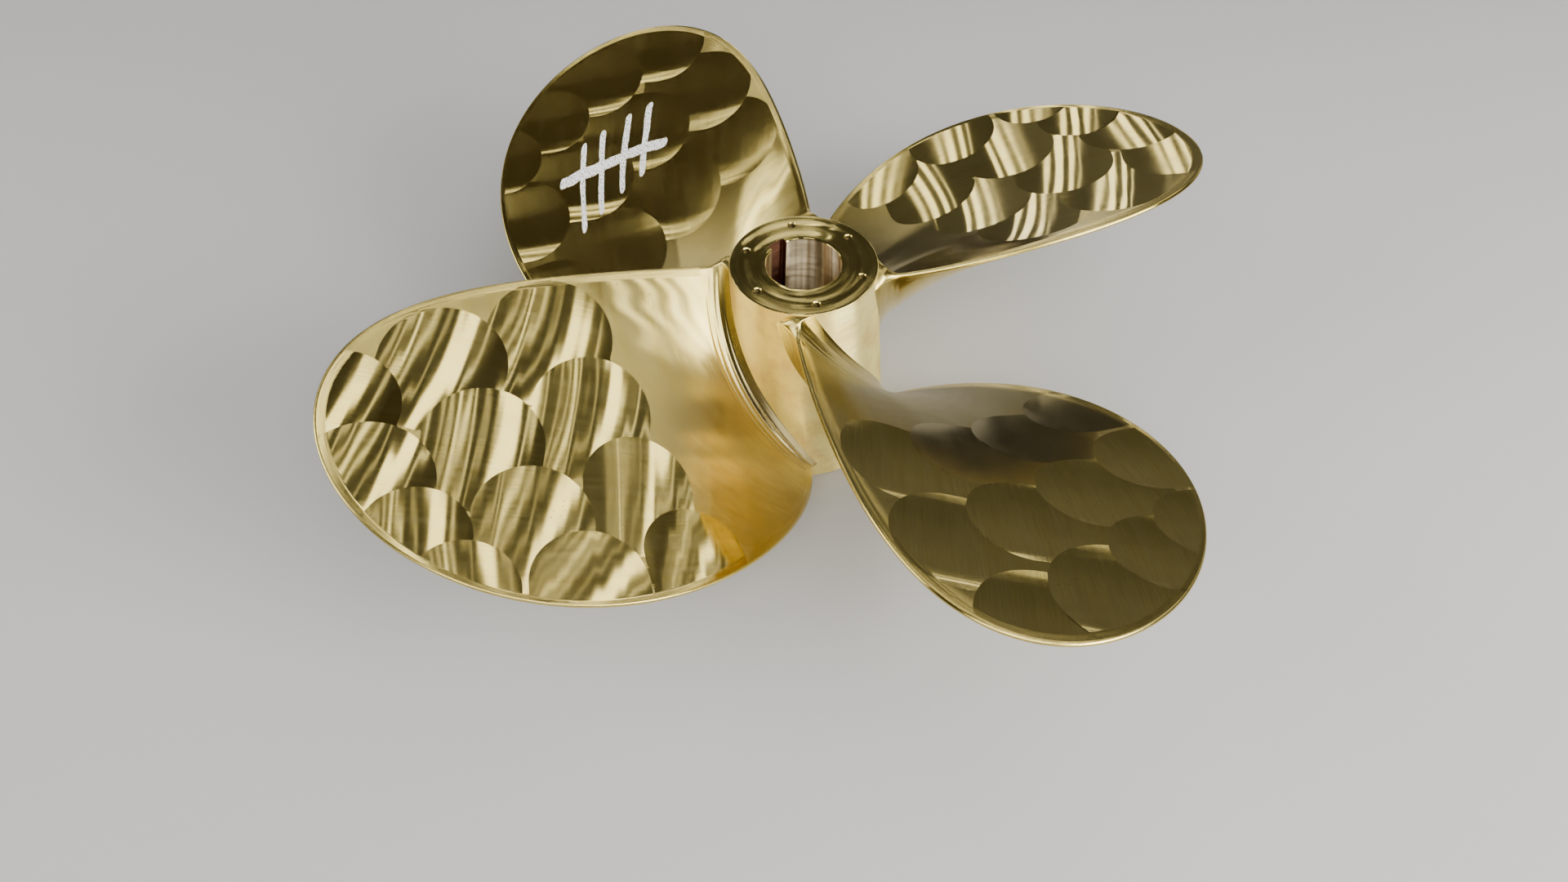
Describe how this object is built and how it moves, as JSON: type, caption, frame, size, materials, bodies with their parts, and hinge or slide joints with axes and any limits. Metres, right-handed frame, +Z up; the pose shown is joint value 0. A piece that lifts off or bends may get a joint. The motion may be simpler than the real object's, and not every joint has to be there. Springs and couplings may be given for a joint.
{
  "type": "ship propeller",
  "caption": "Left-handed fixed-pitch ship propeller cast in one piece, with wide blades, a tapered hub, a taper bore with a keyway and tapped holes in its aft face.",
  "frame": {"origin": "centre of the hub's forward end, on the shaft axis, where the propeller rests on a level surface", "axes": "+Z up the shaft axis from the forward end of the hub to its aft end; each blade's reference line lies on +X, +Y, -X or -Y"},
  "size_m": [1.1022, 1.1022, 0.3271],
  "materials": {
    "polished_bronze": "machined and disc-buffed bronze"
  },
  "bodies": {
    "root": {"propeller_casting": "polished_bronze"}
  },
  "joints": []
}
